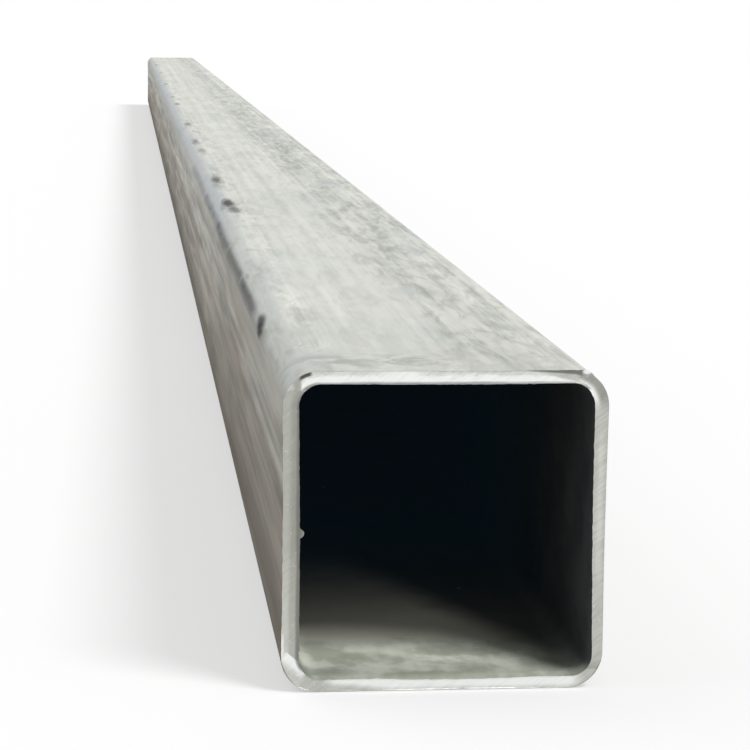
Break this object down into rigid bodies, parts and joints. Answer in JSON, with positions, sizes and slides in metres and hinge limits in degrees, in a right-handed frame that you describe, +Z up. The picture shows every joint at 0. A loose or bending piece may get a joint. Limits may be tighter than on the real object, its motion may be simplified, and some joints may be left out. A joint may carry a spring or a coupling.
{
  "type": "square metal tube",
  "caption": "Long square steel tube with rounded corners, a through bore with a weld bead along one inner wall, and plain sawn ends.",
  "frame": {"origin": "middle of the flat bottom face, half way along the tube", "axes": "+Y along the tube, away from the end that is seen; +X across it to the right; +Z up. The weld bead runs along the inner face of the -X wall."},
  "size_m": [0.14, 6, 0.14],
  "materials": {
    "mill_steel": "unpainted cold-formed steel, dull grey with thin patchy scale, lengthwise roll streaks, dark pits along the corners and bright saw-cut ends"
  },
  "bodies": {
    "root": {"square_tube": "mill_steel"}
  },
  "joints": []
}
